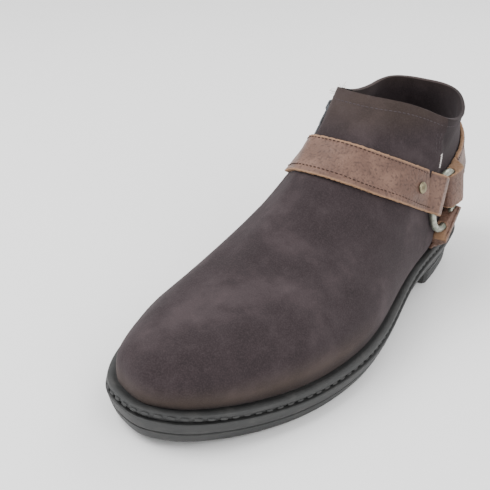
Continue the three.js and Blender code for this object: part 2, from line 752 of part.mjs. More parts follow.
// Sole strap: from the ring's lower rear down to the welt, flaring forward. Its outline is in
// ring diameters ahead of and below the ring's centre; the foot of it stands over the welt.
const SOLE_STRAP_TOP = [
  { ahead: -0.62, below: 0.27 },
  { ahead: -0.4, below: 0.2 },
  { ahead: -0.04, below: 0.38 },
  { ahead: -0.02, below: 0.47 },
  { ahead: 0.1, below: 0.57 },
  { ahead: 0.3, below: 0.68 },
];
const SOLE_STRAP_FOOT = { front: 0.62, rear: -0.6 };
const soleStrapFoot = lift(0) + FEATHER_HEIGHT + TAB_FOOT_ABOVE_WELT;
const besideRing = (ahead) => RING_DISTANCE + ahead * RING_DIAMETER;
const soleStrapOutline = [
  ...SOLE_STRAP_TOP.map((row) => ({
    distance: besideRing(row.ahead), height: RING_HEIGHT - row.below * RING_DIAMETER,
  })),
  { distance: besideRing(SOLE_STRAP_FOOT.front), height: soleStrapFoot },
  { distance: besideRing(SOLE_STRAP_FOOT.rear), height: soleStrapFoot },
];
const tabBelow = planeThrough(
  new THREE.Vector3(0, along(RING_DISTANCE), RING_HEIGHT), new THREE.Vector3(0, TAB_LEAN.ahead, -TAB_LEAN.below),
);
const tabSheet = faceSheet(0, SEAM_COLUMN + 5, STRAP_GAP, STRAP_GAP + STRAP_THICKNESS)
  .trimByPlane(tabBelow.normal.toArray(), LOOP_END - STRAP_LAP - tabBelow.constant);
const tabLoop = loopSolid(TAB_NOSE, faceDirection(-TAB_LEAN.ahead, -TAB_LEAN.below)).subtract(jacket);
const soleStrap = tabSheet.add(tabLoop).intersect(sidePrism(soleStrapOutline)).subtract(ringChannel);
addPiece("sole_strap", geometryFrom(soleStrap), strapLeather);

// Zip: tape in the upper's slot, a coil along its middle, a slider near the top and its pull tab
const zipPlace = (t, shift) => ringPlace(
  t, tableValue(ZIP_STATIONS, t, "distance") * SOLE_LENGTH + shift, false,
);

function zipStrip(halfWidth, under, over, bottomGap, topGap) {
  const rows = Array.from({ length: UPPER_ROWS }, (_, r) => upperRow(r)).filter((t) => t >= ZIP_BOTTOM);
  rows[0] += bottomGap;
  rows[rows.length - 1] -= topGap;
  const face = (offset) => rows.map((t) => [halfWidth, 0, -halfWidth].map(
    (shift) => offsetPoint(t, zipPlace(t, shift), offset),
  ));
  return shellGeometry(face(over), face(under), false);
}
addPiece(
  "zip_tape",
  zipStrip(ZIP_SLOT / 2 - CLEARANCE, TAPE_DEPTH - TAPE_THICKNESS, TAPE_DEPTH, ZIP_END_GAP, 0),
  zipFabric,
);
addPiece(
  "zip_coil",
  zipStrip(COIL_WIDTH / 2, TAPE_DEPTH + CLEARANCE, TAPE_DEPTH + CLEARANCE + COIL_HEIGHT, 2 * ZIP_END_GAP, ZIP_END_GAP),
  zipCoil,
);

const sliderPlace = zipPlace(SLIDER_T, 0);
const sliderOutward = upperNormal(SLIDER_T, sliderPlace);
const zipStep = 0.02;
const zipUp = upperPoint(SLIDER_T + zipStep, zipPlace(SLIDER_T + zipStep, 0))
  .sub(upperPoint(SLIDER_T - zipStep, zipPlace(SLIDER_T - zipStep, 0)));
zipUp.addScaledVector(sliderOutward, -zipUp.dot(sliderOutward)).normalize();
const zipAcross = zipUp.clone().cross(sliderOutward);
const sliderFoot = TAPE_DEPTH + 2 * CLEARANCE + COIL_HEIGHT + SLIDER_RIDE;
const sliderPoint = upperPoint(SLIDER_T, sliderPlace).addScaledVector(sliderOutward, sliderFoot);
const sliderMatrix = new THREE.Matrix4().makeBasis(zipAcross, zipUp, sliderOutward).setPosition(sliderPoint);

// Slider body, wider at its top, with an arch that carries the pull tab
const bodyShape = new THREE.Shape();
bodyShape.moveTo(-SLIDER_WIDTH * 0.32, -SLIDER_LENGTH / 2);
bodyShape.lineTo(SLIDER_WIDTH * 0.32, -SLIDER_LENGTH / 2);
bodyShape.quadraticCurveTo(SLIDER_WIDTH * 0.5, 0, SLIDER_WIDTH * 0.5, SLIDER_LENGTH * 0.3);
bodyShape.quadraticCurveTo(SLIDER_WIDTH * 0.48, SLIDER_LENGTH * 0.5, 0, SLIDER_LENGTH * 0.5);
bodyShape.quadraticCurveTo(-SLIDER_WIDTH * 0.48, SLIDER_LENGTH * 0.5, -SLIDER_WIDTH * 0.5, SLIDER_LENGTH * 0.3);
bodyShape.quadraticCurveTo(-SLIDER_WIDTH * 0.5, 0, -SLIDER_WIDTH * 0.32, -SLIDER_LENGTH / 2);
const sliderBody = new THREE.ExtrudeGeometry(bodyShape, { depth: SLIDER_THICKNESS, bevelEnabled: false, curveSegments: 4 });

const archHalf = ARCH_LENGTH / 2;
const archShape = new THREE.Shape([
  new THREE.Vector2(-archHalf, -ARCH_ROOT), new THREE.Vector2(archHalf, -ARCH_ROOT),
  new THREE.Vector2(archHalf, ARCH_HEIGHT * 0.7), new THREE.Vector2(archHalf * 0.7, ARCH_HEIGHT),
  new THREE.Vector2(-archHalf * 0.7, ARCH_HEIGHT), new THREE.Vector2(-archHalf, ARCH_HEIGHT * 0.7),
]);
const archInner = archHalf - ARCH_WALL;
archShape.holes.push(new THREE.Path([
  new THREE.Vector2(-archInner, 0), new THREE.Vector2(-archInner, ARCH_HEIGHT - ARCH_WALL),
  new THREE.Vector2(archInner, ARCH_HEIGHT - ARCH_WALL), new THREE.Vector2(archInner, 0),
]));
const arch = new THREE.ExtrudeGeometry(archShape, { depth: ARCH_WIDTH, bevelEnabled: false });
arch.translate(0, 0, -ARCH_WIDTH / 2);
arch.applyMatrix4(new THREE.Matrix4().makeBasis(
  new THREE.Vector3(0, 1, 0), new THREE.Vector3(0, 0, 1), new THREE.Vector3(1, 0, 0),
));
arch.translate(0, 0, SLIDER_THICKNESS);
const sliderSolid = solidFrom(sliderBody).add(solidFrom(arch));
addPiece("zip_slider", geometryFrom(sliderSolid), zipMetal).applyMatrix4(sliderMatrix);

// Pull tab: it hangs from the arch by a bar; a long window lets it swing past the arch
const pullShape = new THREE.Shape();
const barHalf = PULL_THICKNESS / 2;
pullShape.moveTo(-PULL_WIDTH / 2, barHalf);
pullShape.lineTo(-PULL_WIDTH / 2, -PULL_RING_LENGTH);
pullShape.lineTo(-PULL_TAIL_WIDTH / 2, -PULL_RING_LENGTH - PULL_TAPER);
pullShape.lineTo(-PULL_TAIL_WIDTH / 2, -PULL_LENGTH);
pullShape.lineTo(PULL_TAIL_WIDTH / 2, -PULL_LENGTH);
pullShape.lineTo(PULL_TAIL_WIDTH / 2, -PULL_RING_LENGTH - PULL_TAPER);
pullShape.lineTo(PULL_WIDTH / 2, -PULL_RING_LENGTH);
pullShape.lineTo(PULL_WIDTH / 2, barHalf);
const windowHalf = ARCH_WIDTH / 2 + PULL_PLAY;
pullShape.holes.push(new THREE.Path([
  new THREE.Vector2(-windowHalf, -barHalf), new THREE.Vector2(windowHalf, -barHalf),
  new THREE.Vector2(windowHalf, -PULL_RING_LENGTH + PULL_PLAY), new THREE.Vector2(-windowHalf, -PULL_RING_LENGTH + PULL_PLAY),
]));
const pullHole = new THREE.Path();
pullHole.absarc(0, -PULL_LENGTH + PULL_TAIL_WIDTH / 2, PULL_HOLE / 2, 0, 2 * Math.PI);
pullShape.holes.push(pullHole);
const pull = new THREE.ExtrudeGeometry(pullShape, { depth: PULL_THICKNESS, bevelEnabled: false, curveSegments: 6 });
pull.translate(0, 0, -PULL_THICKNESS / 2);
const pivotHeight = SLIDER_THICKNESS + (ARCH_HEIGHT - ARCH_WALL) / 2;
const pullMatrix = sliderMatrix.clone().multiply(new THREE.Matrix4().makeTranslation(0, 0, pivotHeight));
addPiece("zip_pull", pull, zipMetal).applyMatrix4(pullMatrix);

export default boot;
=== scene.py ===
"""Looks of the harness chukka boot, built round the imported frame. Metres, +Z up, toe towards -Y."""

import json
import logging
import math
import random
from dataclasses import dataclass, field
from enum import Enum
from typing import Callable, Iterable

import bmesh
import bpy
from mathutils import Matrix, Vector, noise
from mathutils.bvhtree import BVHTree

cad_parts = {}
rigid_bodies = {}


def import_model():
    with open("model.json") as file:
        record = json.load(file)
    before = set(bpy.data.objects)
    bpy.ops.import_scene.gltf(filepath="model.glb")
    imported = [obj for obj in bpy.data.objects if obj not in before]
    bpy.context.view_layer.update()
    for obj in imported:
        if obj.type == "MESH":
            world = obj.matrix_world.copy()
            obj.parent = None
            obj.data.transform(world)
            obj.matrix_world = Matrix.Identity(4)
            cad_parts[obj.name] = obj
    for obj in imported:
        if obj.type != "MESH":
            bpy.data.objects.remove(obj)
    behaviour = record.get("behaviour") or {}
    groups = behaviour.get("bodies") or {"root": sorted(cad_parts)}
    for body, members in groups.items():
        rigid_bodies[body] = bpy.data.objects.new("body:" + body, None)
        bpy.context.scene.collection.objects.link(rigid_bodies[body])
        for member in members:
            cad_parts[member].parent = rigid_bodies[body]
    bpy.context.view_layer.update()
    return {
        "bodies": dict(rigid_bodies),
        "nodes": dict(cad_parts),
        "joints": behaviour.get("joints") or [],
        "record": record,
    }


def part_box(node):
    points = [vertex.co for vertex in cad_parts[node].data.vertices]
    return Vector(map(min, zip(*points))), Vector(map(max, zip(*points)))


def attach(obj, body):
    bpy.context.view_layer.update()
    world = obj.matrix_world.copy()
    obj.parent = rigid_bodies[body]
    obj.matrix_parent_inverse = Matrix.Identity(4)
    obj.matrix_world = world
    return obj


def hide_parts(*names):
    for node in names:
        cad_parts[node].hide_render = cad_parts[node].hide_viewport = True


LOG = logging.getLogger("boot")
MM = 0.001
ROOT = "root"
RING_BODY = "ring"
PULL_BODY = "pull_tab"


class Surface(Enum):
    """Which side of the upper's wall a face belongs to."""

    OUTER = 0
    LINING = 1
    CUT_EDGE = 2


class Value:
    """A shader socket with arithmetic, so that an expression adds its Math nodes."""

    def __init__(self, tree: "NodeBuilder", socket: bpy.types.NodeSocket) -> None:
        """Wrap one output socket of a node tree."""
        self.tree = tree
        self.socket = socket

    def _math(self, operation: str, first: "Operand", second: "Operand") -> "Value":
        """Add one Math node on two operands."""
        node = self.tree.node("ShaderNodeMath", {"operation": operation}, {0: first, 1: second})
        return Value(self.tree, node.outputs[0])

    def __add__(self, other: "Operand") -> "Value":
        """Sum."""
        return self._math("ADD", self, other)

    __radd__ = __add__

    def __sub__(self, other: "Operand") -> "Value":
        """Difference."""
        return self._math("SUBTRACT", self, other)

    def __rsub__(self, other: "Operand") -> "Value":
        """Reflected difference."""
        return self._math("SUBTRACT", other, self)

    def __mul__(self, other: "Operand") -> "Value":
        """Product."""
        return self._math("MULTIPLY", self, other)

    __rmul__ = __mul__

    def clamped(self) -> "Value":
        """Limit to between 0 and 1."""
        node = self.tree.node("ShaderNodeClamp", {}, {"Value": self})
        return Value(self.tree, node.outputs[0])

    def remapped(self, low: float, high: float) -> "Value":
        """Map low..high smoothly to 0..1."""
        node = self.tree.node(
            "ShaderNodeMapRange", {"interpolation_type": "SMOOTHSTEP"},
            {"Value": self, "From Min": low, "From Max": high},
        )
        return Value(self.tree, node.outputs[0])


Operand = Value | float


class NodeBuilder:
    """Builds one material's node tree."""

    def __init__(self, name: str) -> None:
        """Start an empty material."""
        self.material = bpy.data.materials.new(name)
        self.material.use_nodes = True
        self.nodes = self.material.node_tree.nodes
        self.links = self.material.node_tree.links
        self.nodes.clear()

    def node(self, kind: str, settings: dict, inputs: dict) -> bpy.types.Node:
        """Add a node.

        Args:
            kind: The node's type.
            settings: Its own settings, set before its sockets.
            inputs: Values or links of its sockets, by name or index.

        Returns:
            The new node.
        """
        made = self.nodes.new(kind)
        for key, value in settings.items():
            setattr(made, key, value)
        for key, value in inputs.items():
            if isinstance(value, Value):
                self.links.new(value.socket, made.inputs[key])
            elif isinstance(value, bpy.types.NodeSocket):
                self.links.new(value, made.inputs[key])
            else:
                made.inputs[key].default_value = value
        return made

    def coordinates(self) -> bpy.types.NodeSocket:
        """Object coordinates in metres."""
        return self.node("ShaderNodeTexCoord", {}, {}).outputs["Object"]

    def noise(self, scale_mm: float, detail: float = 3.0, roughness: float = 0.55,
              stretch: tuple[float, float, float] = (1, 1, 1), distortion: float = 0.0) -> Value:
        """Noise whose lumps are about scale_mm across."""
        mapping = self.node("ShaderNodeMapping", {}, {"Vector": self.coordinates(), "Scale": stretch})
        made = self.node(
            "ShaderNodeTexNoise", {"noise_dimensions": "3D"},
            {"Vector": mapping.outputs[0], "Scale": 1 / (scale_mm * MM), "Detail": detail,
             "Roughness": roughness, "Distortion": distortion},
        )
        return Value(self, made.outputs["Fac"])

    def cells(self, scale_mm: float, feature: str = "F1") -> Value:
        """Cell pattern whose cells are about scale_mm across."""
        made = self.node(
            "ShaderNodeTexVoronoi", {"feature": feature},
            {"Vector": self.coordinates(), "Scale": 1 / (scale_mm * MM)},
        )
        return Value(self, made.outputs["Distance"])

    def attribute(self, name: str) -> Value:
        """A number stored on the mesh."""
        made = self.node("ShaderNodeAttribute", {"attribute_name": name}, {})
        return Value(self, made.outputs["Fac"])

    def mix(self, factor: Operand, first: "Colour", second: "Colour") -> bpy.types.NodeSocket:
        """Blend two colours."""
        made = self.node("ShaderNodeMix", {"data_type": "RGBA"}, {"Factor": factor, "A": first, "B": second})
        return made.outputs["Result"]

    def bump(self, height: Value, distance_mm: float, strength: float = 1.0) -> bpy.types.NodeSocket:
        """Bump from a height between 0 and 1 that stands for distance_mm."""
        made = self.node(
            "ShaderNodeBump", {}, {"Height": height, "Distance": distance_mm * MM, "Strength": strength},
        )
        return made.outputs[0]

    def finish(self, inputs: dict) -> bpy.types.Material:
        """Close the tree with one surface shader."""
        shader = self.node("ShaderNodeBsdfPrincipled", {}, inputs)
        self.node("ShaderNodeOutputMaterial", {}, {"Surface": shader.outputs[0]})
        return self.material


Colour = tuple[float, float, float, float] | bpy.types.NodeSocket


def rgb(red: float, green: float, blue: float) -> tuple[float, float, float, float]:
    """Colour from linear parts."""
    return (red, green, blue, 1.0)


@dataclass(frozen=True)
class NapFinish:
    """Napped hide of the upper: cloudy, dull, with a fine bump."""

    base: tuple = rgb(0.0230, 0.0168, 0.0185)
    light: tuple = rgb(0.072, 0.055, 0.058)
    dark: tuple = rgb(0.010, 0.0075, 0.0082)
    rubbed: tuple = rgb(0.055, 0.040, 0.029)
    cloud_mm: float = 34.0
    blotch_mm: float = 9.0
    nap_mm: float = 0.7

    def build(self) -> bpy.types.Material:
        """Make the material."""
        tree = NodeBuilder("nubuck")
        cloud = tree.noise(self.cloud_mm, 3.0, 0.6)
        blotch = tree.noise(self.blotch_mm, 4.0, 0.65)
        nap = tree.noise(self.nap_mm, 2.0, 0.7)
        fibre = tree.noise(2.6, 4.0, 0.75, (1.0, 0.45, 1.0))
        lightness = (cloud.remapped(0.46, 0.72) * 0.42 + blotch.remapped(0.48, 0.8) * 0.22).clamped()
        colour = tree.mix(lightness, self.base, self.light)
        depth = (1.0 - cloud.remapped(0.3, 0.5)) * 0.35
        colour = tree.mix(depth, colour, self.dark)
        raised = nap.remapped(0.35, 0.75) * 0.30 + fibre.remapped(0.5, 0.8) * 0.16
        colour = tree.mix(raised, colour, self.light)
        colour = tree.mix((tree.attribute("rub") * (0.35 + blotch * 0.8)).clamped(), colour, self.rubbed)
        # Painted shade: darkens the foot of the upper by the welt and the rear lateral quarter behind the
        # side seam.
        colour = tree.mix((tree.attribute("shade") * 0.8).clamped(), colour, self.dark)
        height = nap * 0.6 + fibre * 0.5 + blotch * 0.5
        return tree.finish({
            "Base Color": colour, "Roughness": 0.93, "Specular IOR Level": 0.1, "Sheen Weight": 0.08,
            "Sheen Roughness": 0.55, "Sheen Tint": rgb(0.75, 0.66, 0.68),
            "Normal": tree.bump(height, 0.22, 0.75),
        })


@dataclass(frozen=True)
class PebbledFinish:
    """Brown strap leather with a pebbled grain and raw tan edges."""

    base: tuple = rgb(0.098, 0.050, 0.035)
    pale: tuple = rgb(0.165, 0.090, 0.063)
    dark: tuple = rgb(0.036, 0.016, 0.011)
    raw: tuple = rgb(0.27, 0.155, 0.088)
    grain_mm: float = 1.15

    def build(self) -> bpy.types.Material:
        """Make the material."""
        tree = NodeBuilder("strap_leather")
        grain = tree.cells(self.grain_mm, "SMOOTH_F1")
        fine = tree.noise(0.55, 2.0, 0.6)
        cloud = tree.noise(15.0, 4.0, 0.6)
        streak = tree.noise(5.0, 4.0, 0.7, (1.0, 0.5, 1.0), 0.8)
        colour = tree.mix(cloud.remapped(0.35, 0.72), self.base, self.pale)
        colour = tree.mix(streak.remapped(0.56, 0.8) * 0.45, colour, self.dark)
        colour = tree.mix(grain.remapped(0.42, 0.72) * 0.55, colour, self.dark)
        edge = (tree.attribute("edge") * (0.55 + fine * 0.9)).clamped()
        colour = tree.mix(edge, colour, self.raw)
        height = (1.0 - grain) * 0.75 + fine * 0.25 + tree.attribute("edge") * tree.noise(0.8, 3.0, 0.8) * 0.6
        return tree.finish({
            "Base Color": colour, "Roughness": 0.5 + edge * 0.35 + grain * 0.12, "Specular IOR Level": 0.4,
            "Sheen Weight": 0.03, "Normal": tree.bump(height, 0.35, 0.85),
        })


@dataclass(frozen=True)
class RubberFinish:
    """Matt black sole rubber with fine moulded lines and dust."""

    base: tuple = rgb(0.022, 0.0225, 0.0225)
    worn: tuple = rgb(0.065, 0.063, 0.060)
    line_pitch_mm: float = 1.9

    def build(self) -> bpy.types.Material:
        """Make the material."""
        tree = NodeBuilder("sole_rubber")
        dust = tree.noise(11.0, 5.0, 0.7, (1.0, 1.0, 2.2))
        speck = tree.noise(1.1, 3.0, 0.7)
        lines = tree.noise(26.0, 3.0, 0.6, (1.0, 1.0, 26.0 / self.line_pitch_mm))
        mask = (dust.remapped(0.45, 0.8) * 0.55 + lines.remapped(0.52, 0.72) * 0.3).clamped()
        colour = tree.mix(mask, self.base, self.worn)
        return tree.finish({
            "Base Color": colour, "Roughness": 0.5 + dust * 0.28, "Specular IOR Level": 0.45,
            "Normal": tree.bump(speck * 0.35 + lines * 0.65, 0.22, 0.55),
        })


@dataclass(frozen=True)
class MetalFinish:
    """Metal with a worn patina."""

    name: str
    base: tuple
    patina: tuple
    roughness: float
    metallic: float

    def build(self) -> bpy.types.Material:
        """Make the material."""
        tree = NodeBuilder(self.name)
        blotch = tree.noise(3.2, 4.0, 0.7)
        scratch = tree.noise(0.9, 3.0, 0.7, (1.0, 1.0, 0.3))
        mask = blotch.remapped(0.42, 0.66)
        colour = tree.mix(mask, self.base, self.patina)
        return tree.finish({
            "Base Color": colour, "Metallic": self.metallic - mask * 0.3,
            "Roughness": self.roughness + mask * 0.2 + scratch * 0.1,
            "Normal": tree.bump(blotch * 0.5 + scratch * 0.5, 0.12, 0.6),
        })


@dataclass(frozen=True)
class ClothFinish:
    """Dull textile or hide lining with a fine texture."""

    name: str
    base: tuple
    light: tuple
    grain_mm: float
    depth_mm: float

    def build(self) -> bpy.types.Material:
        """Make the material."""
        tree = NodeBuilder(self.name)
        weave = tree.cells(self.grain_mm)
        cloud = tree.noise(12.0, 3.0, 0.6)
        colour = tree.mix((cloud * 0.5 + weave * 0.5).clamped(), self.base, self.light)
        return tree.finish({
            "Base Color": colour, "Roughness": 0.9, "Specular IOR Level": 0.2,
            "Normal": tree.bump(weave, self.depth_mm, 0.8),
        })


@dataclass
class Palette:
    """All finishes of the boot, built once."""

    nubuck: bpy.types.Material = field(default_factory=lambda: NapFinish().build())
    strap: bpy.types.Material = field(default_factory=lambda: PebbledFinish().build())
    rubber: bpy.types.Material = field(default_factory=lambda: RubberFinish().build())
    ring: bpy.types.Material = field(default_factory=lambda: MetalFinish(
        "aged_ring", rgb(0.36, 0.37, 0.31), rgb(0.17, 0.19, 0.15), 0.34, 0.85).build())
    rivet: bpy.types.Material = field(default_factory=lambda: MetalFinish(
        "aged_brass", rgb(0.27, 0.235, 0.15), rgb(0.12, 0.10, 0.06), 0.38, 0.9).build())
    zip_metal: bpy.types.Material = field(default_factory=lambda: MetalFinish(
        "zip_metal", rgb(0.10, 0.105, 0.115), rgb(0.04, 0.042, 0.046), 0.36, 0.8).build())
    lining: bpy.types.Material = field(default_factory=lambda: ClothFinish(
        "lining", rgb(0.010, 0.0095, 0.010), rgb(0.024, 0.022, 0.023), 1.3, 0.2).build())
    cut_edge: bpy.types.Material = field(default_factory=lambda: ClothFinish(
        "cut_edge", rgb(0.085, 0.058, 0.050), rgb(0.20, 0.145, 0.125), 0.8, 0.2).build())
    zip_tape: bpy.types.Material = field(default_factory=lambda: ClothFinish(
        "zip_tape", rgb(0.008, 0.008, 0.009), rgb(0.02, 0.02, 0.022), 0.6, 0.15).build())
    dark_thread: bpy.types.Material = field(default_factory=lambda: ClothFinish(
        "dark_thread", rgb(0.028, 0.016, 0.013), rgb(0.06, 0.036, 0.028), 0.3, 0.08).build())
    grey_thread: bpy.types.Material = field(default_factory=lambda: ClothFinish(
        "grey_thread", rgb(0.035, 0.028, 0.031), rgb(0.075, 0.06, 0.064), 0.3, 0.08).build())
    pale_thread: bpy.types.Material = field(default_factory=lambda: ClothFinish(
        "pale_thread", rgb(0.50, 0.47, 0.45), rgb(0.75, 0.72, 0.70), 0.3, 0.05).build())


def clear_selection() -> None:
    """Leave edit mode and deselect everything."""
    if bpy.context.object and bpy.context.object.mode != "OBJECT":
        bpy.ops.object.mode_set(mode="OBJECT")
    bpy.ops.object.select_all(action="DESELECT")


def make_active(obj: bpy.types.Object) -> None:
    """Select one object alone and make it active."""
    clear_selection()
    obj.select_set(True)
    bpy.context.view_layer.objects.active = obj


def apply_modifiers(obj: bpy.types.Object) -> None:
    """Apply every modifier of an object in order."""
    make_active(obj)
    for name in [m.name for m in obj.modifiers]:
        bpy.ops.object.modifier_apply(modifier=name)


def set_material(obj: bpy.types.Object, *materials: bpy.types.Material) -> None:
    """Give an object these materials, in slot order."""
    obj.data.materials.clear()
    for material in materials:
        obj.data.materials.append(material)


def shade_smooth(obj: bpy.types.Object, angle_deg: float = 40.0) -> None:
    """Smooth shading with sharp edges kept over an angle."""
    make_active(obj)
    bpy.ops.object.shade_smooth_by_angle(angle=math.radians(angle_deg))


def node_copy(frame: dict, node: str, name: str) -> bpy.types.Object:
    """Copy a CAD node's mesh, merge its loose triangles and turn them to quads.

    Args:
        frame: The loaded frame.
        node: The CAD node's name.
        name: Name of the new piece.

    Returns:
        The new object at the origin.
    """
    source = frame["nodes"][node]
    copy = bpy.data.objects.new(name, source.data.copy())
    bpy.context.scene.collection.objects.link(copy)
    make_active(copy)
    bpy.ops.object.mode_set(mode="EDIT")
    bpy.ops.mesh.select_all(action="SELECT")
    bpy.ops.mesh.customdata_custom_splitnormals_clear()
    bpy.ops.mesh.remove_doubles(threshold=0.01 * MM)
    bpy.ops.mesh.tris_convert_to_quads(face_threshold=math.radians(60), shape_threshold=math.radians(60))
    bpy.ops.object.mode_set(mode="OBJECT")
    return copy


def crease_sharp(obj: bpy.types.Object, angle_deg: float, crease: float) -> None:
    """Crease the edges that are sharper than an angle, before subdivision."""
    mesh = bmesh.new()
    mesh.from_mesh(obj.data)
    layer = mesh.edges.layers.float.get("crease_edge") or mesh.edges.layers.float.new("crease_edge")
    for edge in mesh.edges:
        if len(edge.link_faces) == 2 and math.degrees(edge.calc_face_angle()) > angle_deg:
            edge[layer] = crease
    mesh.to_mesh(obj.data)
    mesh.free()


def subdivide(obj: bpy.types.Object, levels: int) -> None:
    """Subdivision surface, applied."""
    modifier = obj.modifiers.new("subdivision", "SUBSURF")
    modifier.levels = levels
    modifier.render_levels = levels
    apply_modifiers(obj)


def tree_of(obj: bpy.types.Object) -> BVHTree:
    """Ray-casting tree of an object's mesh."""
    mesh = obj.data
    return BVHTree.FromPolygons([v.co for v in mesh.vertices], [tuple(p.vertices) for p in mesh.polygons])


def write_attribute(obj: bpy.types.Object, name: str, make: Callable[[Vector], float]) -> None:
    """Store a number per vertex, worked out from its place in millimetres."""
    attribute = obj.data.attributes.new(name, "FLOAT", "POINT")
    attribute.data.foreach_set("value", [make(v.co / MM) for v in obj.data.vertices])


def push_out(obj: bpy.types.Object, shift: Callable[[Vector], float]) -> None:
    """Move each vertex along its normal by a shift worked out from its place, both in millimetres."""
    vertices = obj.data.vertices
    normals = [v.normal.copy() for v in vertices]
    for vertex, normal in zip(vertices, normals):
        vertex.co += normal * shift(vertex.co / MM) * MM
    obj.data.update()


def smooth_step(value: float, start: float, end: float) -> float:
    """Smooth ramp from 0 at start to 1 at end."""
    share = min(1.0, max(0.0, (value - start) / (end - start)))
    return share * share * (3 - 2 * share)


def resampled(points: list[Vector], spacing: float, closed: bool = False) -> list[Vector]:
    """Points at even steps along a polyline.

    Args:
        points: The polyline.
        spacing: Step in metres.
        closed: Whether the last point joins the first.

    Returns:
        The evenly spaced points.
    """
    line = points + points[:1] if closed else points
    lengths = [(b - a).length for a, b in zip(line, line[1:])]
    total = sum(lengths)
    count = max(2, round(total / spacing))
    result = []
    segment = 0
    walked = 0.0
    for i in range(count + (0 if closed else 1)):
        target = total * i / count
        while segment < len(lengths) - 1 and walked + lengths[segment] < target:
            walked += lengths[segment]
            segment += 1
        share = (target - walked) / max(lengths[segment], 1e-9)
        result.append(line[segment].lerp(line[segment + 1], min(1.0, share)))
    return result


@dataclass(frozen=True)
class Thread:
    """Size of one visible stitch, in millimetres."""

    length: float
    radius: float
    sink: float = 0.0


Segment = tuple[Vector, Vector, Vector]


def gaps(points: list[Vector], normals: list[Vector], closed: bool = False) -> list[Segment]:
    """Segments between neighbouring points, each with its outward direction."""
    count = len(points) if closed else len(points) - 1
    follow = [(i, (i + 1) % len(points)) for i in range(count)]
    return [(points[i], points[j], (normals[i] + normals[j]).normalized()) for i, j in follow]


def stitch_run(
    name: str, segments: list[Segment], thread: Thread, material: bpy.types.Material,
) -> bpy.types.Object:
    """One stitch on each segment, joined to one mesh.

    Args:
        name: Name of the piece.
        segments: Start, end and outward direction of every stitch.
        thread: Length, thickness and depth of a stitch.
        material: Its finish.

    Returns:
        The joined piece.
    """
    clear_selection()
    bpy.ops.mesh.primitive_uv_sphere_add(segments=8, ring_count=6, radius=1.0)
    obj = bpy.context.object
    obj.name = name
    template = [v.co.copy() for v in obj.data.vertices]
    faces = [tuple(p.vertices) for p in obj.data.polygons]
    vertices: list[Vector] = []
    polygons: list[tuple[int, ...]] = []
    radius = thread.radius * MM
    for start, end, normal in segments:
        along = (end - start).normalized()
        across = along.cross(normal).normalized()
        outward = across.cross(along).normalized()
        middle = (start + end) / 2 - outward * thread.sink * MM
        base = len(vertices)
        for co in template:
            reach = math.copysign(abs(co.z) ** 0.6, co.z) * thread.length / 2 * MM
            vertices.append(middle + along * reach + across * co.x * radius + outward * co.y * radius)
        polygons += [tuple(base + k for k in face) for face in faces]
    mesh = bpy.data.meshes.new(name)
    mesh.from_pydata(vertices, [], polygons)
    obj.data = mesh
    mesh.polygons.foreach_set("use_smooth", [True] * len(mesh.polygons))
    outward_volume = sum(
        mesh.vertices[p.vertices[0]].co.dot(p.normal) * p.area for p in mesh.polygons[:len(faces)]
    )
    if outward_volume < 0:
        mesh.flip_normals()
    set_material(obj, material)
    return obj


def finish_piece(obj: bpy.types.Object, body: str, slot: str, *nodes: str) -> None:
    """Put a piece on the body that it rides on and hide the CAD nodes that it stands for."""
    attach(obj, body)
    if nodes:
        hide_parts(*nodes)
    LOG.info("%s: %d faces on %s", obj.name, len(obj.data.polygons), body)


@dataclass
class Stage:
    """Camera at the photograph's angle, a pale floor and soft studio light."""

    azimuth_deg: float = 31.417
    elevation_deg: float = 25.440
    roll_deg: float = 3.26
    focal_px: float = 945.55
    frame_px: float = 490.0
    sensor_mm: float = 36.0
    camera_mm: tuple = (213.114, -537.668, 267.786)

    def build(self) -> None:
        """Place the camera, the floor and the lights."""
        azimuth = math.radians(self.azimuth_deg)
        elevation = math.radians(self.elevation_deg)
        roll = math.radians(self.roll_deg)
        level = math.cos(elevation)
        back = Vector((math.sin(azimuth) * level, -math.cos(azimuth) * level, math.sin(elevation)))
        right = Vector((math.cos(azimuth), math.sin(azimuth), 0))
        up = back.cross(right)
        turned_right = right * math.cos(roll) + up * math.sin(roll)
        turned_up = up * math.cos(roll) - right * math.sin(roll)
        data = bpy.data.cameras.new("camera")
        data.sensor_width = self.sensor_mm
        data.sensor_fit = "HORIZONTAL"
        data.lens = self.focal_px * self.sensor_mm / self.frame_px
        data.clip_start = 0.01
        camera = bpy.data.objects.new("camera", data)
        bpy.context.scene.collection.objects.link(camera)
        matrix = Matrix((turned_right, turned_up, back)).transposed().to_4x4()
        matrix.translation = Vector(self.camera_mm) * MM
        camera.matrix_world = matrix
        bpy.context.scene.camera = camera
        self.floor()
        self.lights()

    def floor(self) -> None:
        """A wide pale floor at the sole."""
        clear_selection()
        bpy.ops.mesh.primitive_plane_add(size=6.0, location=(0, 0, 0))
        floor = bpy.context.object
        floor.name = "floor"
        tree = NodeBuilder("floor_white")
        set_material(floor, tree.finish({"Base Color": rgb(0.93, 0.93, 0.93), "Roughness": 0.9}))

    def lights(self) -> None:
        """Soft boxes over and beside the boot, and a pale surround."""
        world = bpy.data.worlds.new("surround")
        bpy.context.scene.world = world
        world.use_nodes = True
        background = world.node_tree.nodes["Background"]
        background.inputs[0].default_value = (1, 1, 1, 1)
        background.inputs[1].default_value = 1.1
        boxes = (
            ("key", (-0.55, -0.75, 1.15), 0.9, 21.0),
            ("fill", (0.95, -0.55, 0.7), 0.8, 7.0),
            ("rear", (0.1, 0.9, 0.9), 0.8, 7.0),
        )
        for name, place, size, power in boxes:
            data = bpy.data.lights.new(name, "AREA")
            data.size = size
            data.energy = power
            light = bpy.data.objects.new(name, data)
            light.location = place
            aim = Vector((0, -0.1, 0.05)) - Vector(place)
            light.rotation_euler = aim.to_track_quat("-Z", "Y").to_euler()
            bpy.context.scene.collection.objects.link(light)


